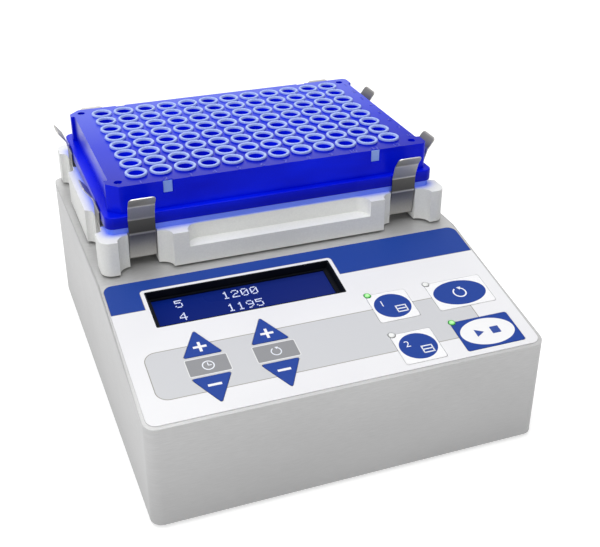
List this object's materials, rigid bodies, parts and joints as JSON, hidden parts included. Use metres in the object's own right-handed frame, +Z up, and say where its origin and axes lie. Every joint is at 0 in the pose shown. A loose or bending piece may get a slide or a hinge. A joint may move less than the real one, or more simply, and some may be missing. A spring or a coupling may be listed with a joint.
{
  "type": "microplate shaker",
  "caption": "Bench orbital shaker with a sloping key panel, a scalloped holder with bent spring clips, and a multi-well plate carried round a small orbit",
  "frame": {"origin": "under the middle of the whole part, at the underside of the feet", "axes": "+X to the right, +Y to the rear, +Z up"},
  "size_m": [0.1404, 0.1682, 0.0854],
  "materials": {
    "housing_silver": "brushed silver",
    "base_steel": "satin",
    "foot_rubber": "matt",
    "membrane_white": "satin film",
    "display_black": "matt",
    "display_blue": "glossy",
    "board_green": "lacquered",
    "part_black": "matt",
    "post_brass": "machined",
    "weight_brass": "machined",
    "plain_steel": "ground",
    "cast_aluminium": "machined",
    "holder_white": "satin",
    "plate_blue": "translucent",
    "lamp_green": "lit",
    "lamp_off": "unlit",
    "key_blue": "satin film",
    "key_white": "satin film",
    "clip_steel": "brushed spring steel"
  },
  "bodies": {
    "housing": {"case_shell": "housing_silver", "base_plate": "base_steel", "rubber_feet": "foot_rubber", "panel_membrane": "membrane_white", "display_frame": "display_black", "display_glass": "display_blue", "display_board": "board_green", "keypad_board": "board_green", "key_switches": "part_black", "board_spacers": "post_brass", "main_board": "board_green", "board_posts": "post_brass", "board_parts": "part_black", "power_socket": "part_black", "data_port": "plain_steel", "drive_chassis": "cast_aluminium", "shaft_bearings": "plain_steel", "idler_bearings": "plain_steel", "motor_housing": "cast_aluminium", "lamp_preset_one": "lamp_green", "lamp_preset_two": "lamp_off", "lamp_short_mix": "lamp_off", "lamp_start_stop": "lamp_green"},
    "drive": {"motor_rotor": "plain_steel", "drive_shaft": "plain_steel", "counterweight": "weight_brass"},
    "table": {"shaking_table": "cast_aluminium", "table_bearings": "plain_steel", "plate_holder": "holder_white", "holder_screws": "plain_steel"},
    "idler_left": {"idler_crank_left": "plain_steel"},
    "idler_right": {"idler_crank_right": "plain_steel"},
    "plate": {"microplate": "plate_blue"},
    "clip_front_left_body": {"clip_front_left": "clip_steel"},
    "clip_rear_left_body": {"clip_rear_left": "clip_steel"},
    "clip_left_front_body": {"clip_left_front": "clip_steel"},
    "clip_left_rear_body": {"clip_left_rear": "clip_steel"},
    "clip_front_right_body": {"clip_front_right": "clip_steel"},
    "clip_rear_right_body": {"clip_rear_right": "clip_steel"},
    "clip_right_front_body": {"clip_right_front": "clip_steel"},
    "clip_right_rear_body": {"clip_right_rear": "clip_steel"},
    "key_time_up_body": {"key_time_up": "key_blue"},
    "key_time_down_body": {"key_time_down": "key_blue"},
    "key_mix_up_body": {"key_mix_up": "key_blue"},
    "key_mix_down_body": {"key_mix_down": "key_blue"},
    "key_preset_one_body": {"key_preset_one": "key_blue"},
    "key_preset_two_body": {"key_preset_two": "key_blue"},
    "key_short_mix_body": {"key_short_mix": "key_blue"},
    "key_start_stop_body": {"key_start_stop": "key_white"}
  },
  "joints": [
    {"name": "drive_spin", "type": "hinge", "parent": "housing", "child": "drive", "pos_m": [0, 0.03493, 0.05075], "axis": [0, 0, 1], "continuous": true},
    {"name": "table_orbit", "type": "hinge", "parent": "drive", "child": "table", "pos_m": [0, 0.03593, 0.05375], "axis": [0, 0, 1], "continuous": true},
    {"name": "idler_left_spin", "type": "hinge", "parent": "housing", "child": "idler_left", "pos_m": [-0.042, 0.05493, 0.05075], "axis": [0, 0, 1], "continuous": true},
    {"name": "idler_right_spin", "type": "hinge", "parent": "housing", "child": "idler_right", "pos_m": [0.042, 0.05493, 0.05075], "axis": [0, 0, 1], "continuous": true},
    {"name": "plate_lift", "type": "slide", "parent": "table", "child": "plate", "axis": [0, 0, 1], "range_m": [0, 0.03]},
    {"name": "clip_front_left_flex", "type": "hinge", "parent": "table", "child": "clip_front_left_body", "pos_m": [-0.0512, -0.00571, 0.0565], "axis": [1, 0, 0], "range_deg": [0, 4], "stiffness_Nm_per_rad": 0.5},
    {"name": "clip_rear_left_flex", "type": "hinge", "parent": "table", "child": "clip_rear_left_body", "pos_m": [-0.0512, 0.07757, 0.0565], "axis": [-1, 0, 0], "range_deg": [0, 4], "stiffness_Nm_per_rad": 0.5},
    {"name": "clip_left_front_flex", "type": "hinge", "parent": "table", "child": "clip_left_front_body", "pos_m": [-0.06278, 0.00743, 0.0565], "axis": [0, -1, 0], "range_deg": [0, 4], "stiffness_Nm_per_rad": 0.5},
    {"name": "clip_left_rear_flex", "type": "hinge", "parent": "table", "child": "clip_left_rear_body", "pos_m": [-0.06278, 0.06443, 0.0565], "axis": [0, -1, 0], "range_deg": [0, 4], "stiffness_Nm_per_rad": 0.5},
    {"name": "clip_front_right_flex", "type": "hinge", "parent": "table", "child": "clip_front_right_body", "pos_m": [0.0512, -0.00571, 0.0565], "axis": [1, 0, 0], "range_deg": [0, 4], "stiffness_Nm_per_rad": 0.5},
    {"name": "clip_rear_right_flex", "type": "hinge", "parent": "table", "child": "clip_rear_right_body", "pos_m": [0.0512, 0.07757, 0.0565], "axis": [-1, 0, 0], "range_deg": [0, 4], "stiffness_Nm_per_rad": 0.5},
    {"name": "clip_right_front_flex", "type": "hinge", "parent": "table", "child": "clip_right_front_body", "pos_m": [0.06278, 0.00743, 0.0565], "axis": [0, 1, 0], "range_deg": [0, 4], "stiffness_Nm_per_rad": 0.5},
    {"name": "clip_right_rear_flex", "type": "hinge", "parent": "table", "child": "clip_right_rear_body", "pos_m": [0.06278, 0.06443, 0.0565], "axis": [0, 1, 0], "range_deg": [0, 4], "stiffness_Nm_per_rad": 0.5},
    {"name": "key_time_up_press", "type": "slide", "parent": "housing", "child": "key_time_up_body", "axis": [0, 0.193, -0.9812], "range_m": [0, 0.00035], "stiffness_N_per_m": 1000},
    {"name": "key_time_down_press", "type": "slide", "parent": "housing", "child": "key_time_down_body", "axis": [0, 0.193, -0.9812], "range_m": [0, 0.00035], "stiffness_N_per_m": 1000},
    {"name": "key_mix_up_press", "type": "slide", "parent": "housing", "child": "key_mix_up_body", "axis": [0, 0.193, -0.9812], "range_m": [0, 0.00035], "stiffness_N_per_m": 1000},
    {"name": "key_mix_down_press", "type": "slide", "parent": "housing", "child": "key_mix_down_body", "axis": [0, 0.193, -0.9812], "range_m": [0, 0.00035], "stiffness_N_per_m": 1000},
    {"name": "key_preset_one_press", "type": "slide", "parent": "housing", "child": "key_preset_one_body", "axis": [0, 0.193, -0.9812], "range_m": [0, 0.00035], "stiffness_N_per_m": 1000},
    {"name": "key_preset_two_press", "type": "slide", "parent": "housing", "child": "key_preset_two_body", "axis": [0, 0.193, -0.9812], "range_m": [0, 0.00035], "stiffness_N_per_m": 1000},
    {"name": "key_short_mix_press", "type": "slide", "parent": "housing", "child": "key_short_mix_body", "axis": [0, 0.193, -0.9812], "range_m": [0, 0.00035], "stiffness_N_per_m": 1000},
    {"name": "key_start_stop_press", "type": "slide", "parent": "housing", "child": "key_start_stop_body", "axis": [0, 0.193, -0.9812], "range_m": [0, 0.00035], "stiffness_N_per_m": 1000}
  ],
  "couplings": [
    {"joint": "table_orbit", "follows": "drive_spin", "ratio": -1},
    {"joint": "idler_left_spin", "follows": "drive_spin", "ratio": 1},
    {"joint": "idler_right_spin", "follows": "drive_spin", "ratio": 1}
  ]
}
